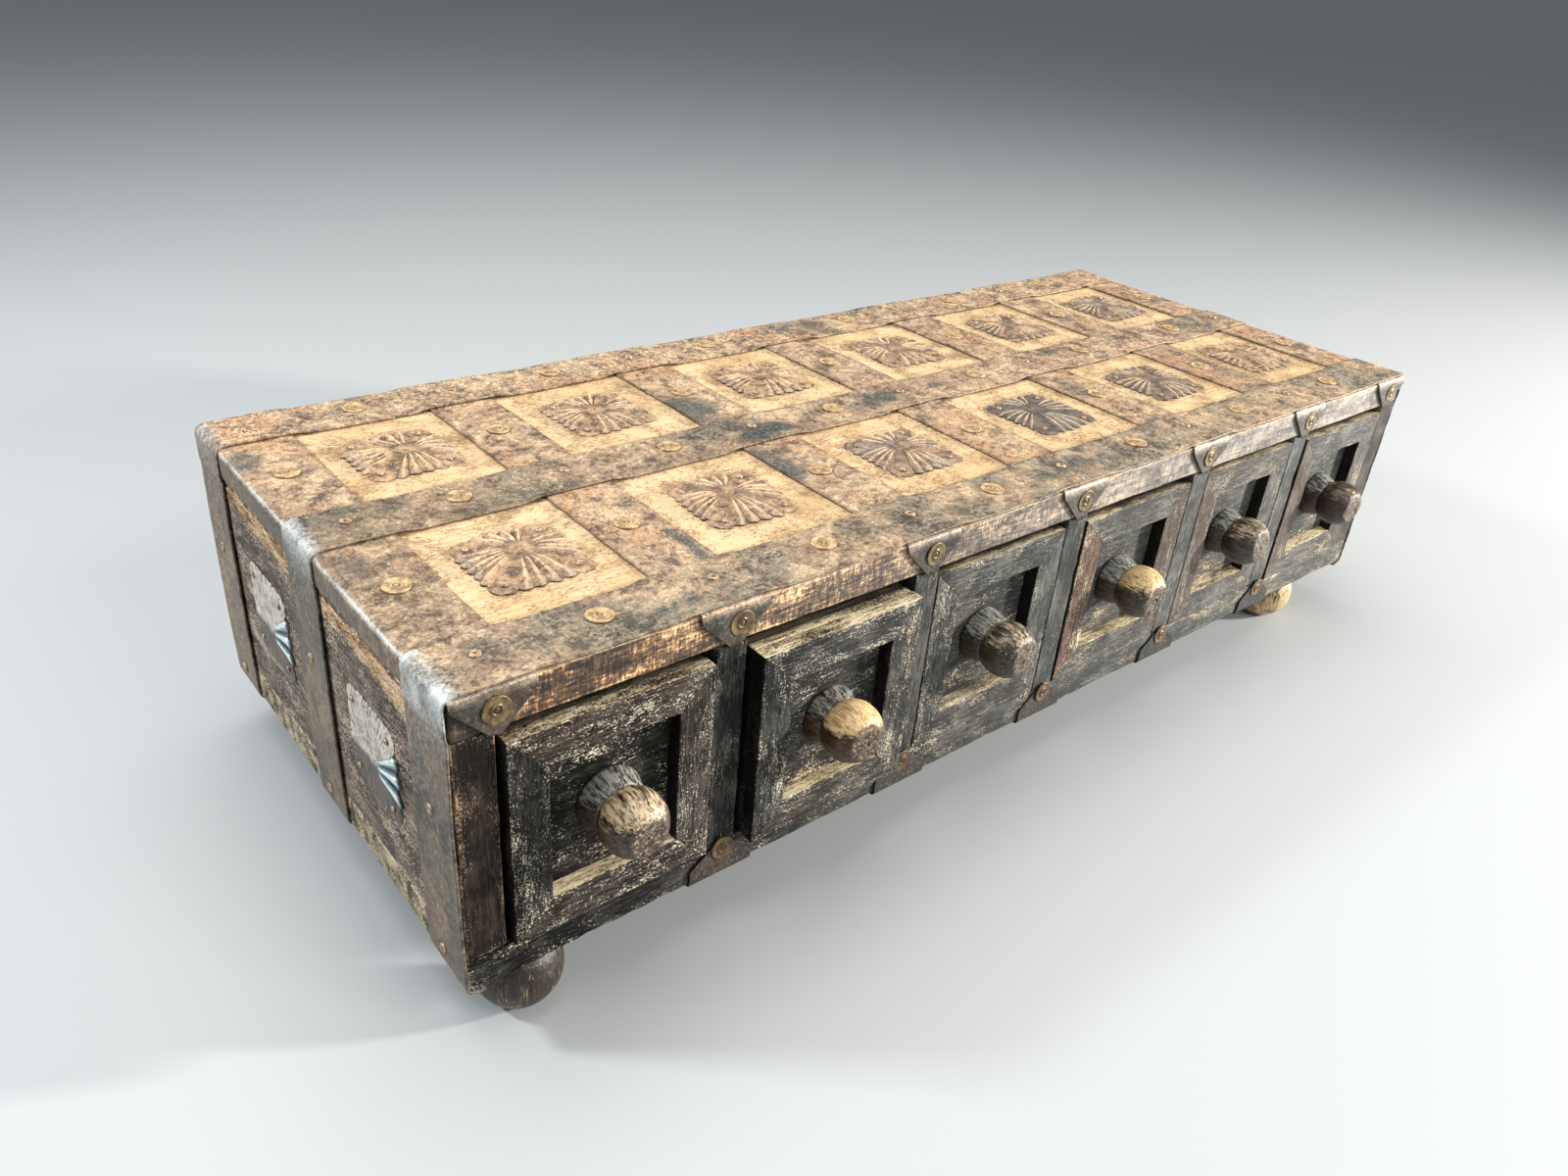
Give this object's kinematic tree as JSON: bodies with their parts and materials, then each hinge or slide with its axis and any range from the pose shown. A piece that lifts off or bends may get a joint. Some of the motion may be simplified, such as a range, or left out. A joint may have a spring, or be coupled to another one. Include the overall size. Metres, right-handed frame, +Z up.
{
  "type": "apothecary box",
  "caption": "Low wooden tabletop chest with a row of sliding drawers on ball feet, bound with nailed iron straps and pressed rosettes.",
  "frame": {"origin": "on the floor under the middle of the whole chest's box, with its knobs and proud drawers", "axes": "+X along the length to the right seen from the front, +Y from the drawer fronts to the back, +Z up"},
  "size_m": [0.6038, 0.269, 0.1533],
  "materials": {
    "top_wood": "bare aged hardwood, dry",
    "carcass_wood": "dark stained, worn to raw wood at the edges",
    "drawer_wood": "black brown paint, distressed with pale specks",
    "tray_wood": "raw planed wood",
    "knob_wood": "turned, waxed and worn",
    "foot_wood": "turned, worn",
    "strap_iron": "sheet iron with a rust brown and grey patina",
    "rosette_iron": "pressed sheet iron with a brown patina",
    "washer_brass": "dull aged brass",
    "nail_iron": "dark rusted iron"
  },
  "bodies": {
    "carcass": {"back_board": "carcass_wood", "bottom_board": "carcass_wood", "brass_washers": "washer_brass", "cross_strap_1": "strap_iron", "cross_strap_2": "strap_iron", "cross_strap_3": "strap_iron", "cross_strap_4": "strap_iron", "cross_strap_5": "strap_iron", "cross_strap_6": "strap_iron", "cross_strap_7": "strap_iron", "end_rosettes": "rosette_iron", "foot_back_left": "foot_wood", "foot_back_right": "foot_wood", "foot_front_left": "foot_wood", "foot_front_right": "foot_wood", "long_strap_back": "strap_iron", "long_strap_front": "strap_iron", "long_strap_middle": "strap_iron", "nails": "nail_iron", "partition_1": "carcass_wood", "partition_2": "carcass_wood", "partition_3": "carcass_wood", "partition_4": "carcass_wood", "partition_5": "carcass_wood", "side_left": "carcass_wood", "side_right": "carcass_wood", "top_board": "top_wood", "top_rosettes": "rosette_iron", "underside_straps": "strap_iron"},
    "drawer_1": {"drawer_1_bottom": "tray_wood", "drawer_1_front_panel": "drawer_wood", "drawer_1_knob": "knob_wood", "drawer_1_moulding": "drawer_wood", "drawer_1_tray": "tray_wood"},
    "drawer_2": {"drawer_2_bottom": "tray_wood", "drawer_2_front_panel": "drawer_wood", "drawer_2_knob": "knob_wood", "drawer_2_moulding": "drawer_wood", "drawer_2_tray": "tray_wood"},
    "drawer_3": {"drawer_3_bottom": "tray_wood", "drawer_3_front_panel": "drawer_wood", "drawer_3_knob": "knob_wood", "drawer_3_moulding": "drawer_wood", "drawer_3_tray": "tray_wood"},
    "drawer_4": {"drawer_4_bottom": "tray_wood", "drawer_4_front_panel": "drawer_wood", "drawer_4_knob": "knob_wood", "drawer_4_moulding": "drawer_wood", "drawer_4_tray": "tray_wood"},
    "drawer_5": {"drawer_5_bottom": "tray_wood", "drawer_5_front_panel": "drawer_wood", "drawer_5_knob": "knob_wood", "drawer_5_moulding": "drawer_wood", "drawer_5_tray": "tray_wood"},
    "drawer_6": {"drawer_6_bottom": "tray_wood", "drawer_6_front_panel": "drawer_wood", "drawer_6_knob": "knob_wood", "drawer_6_moulding": "drawer_wood", "drawer_6_tray": "tray_wood"}
  },
  "joints": [
    {"name": "drawer_1_slide", "type": "slide", "parent": "carcass", "child": "drawer_1", "axis": [0, -1, 0], "range_m": [-0.003, 0.167]},
    {"name": "drawer_2_slide", "type": "slide", "parent": "carcass", "child": "drawer_2", "axis": [0, -1, 0], "range_m": [-0.008, 0.162]},
    {"name": "drawer_3_slide", "type": "slide", "parent": "carcass", "child": "drawer_3", "axis": [0, -1, 0], "range_m": [0, 0.17]},
    {"name": "drawer_4_slide", "type": "slide", "parent": "carcass", "child": "drawer_4", "axis": [0, -1, 0], "range_m": [-0.0005, 0.1695]},
    {"name": "drawer_5_slide", "type": "slide", "parent": "carcass", "child": "drawer_5", "axis": [0, -1, 0], "range_m": [0, 0.17]},
    {"name": "drawer_6_slide", "type": "slide", "parent": "carcass", "child": "drawer_6", "axis": [0, -1, 0], "range_m": [-0.0008, 0.1692]}
  ]
}
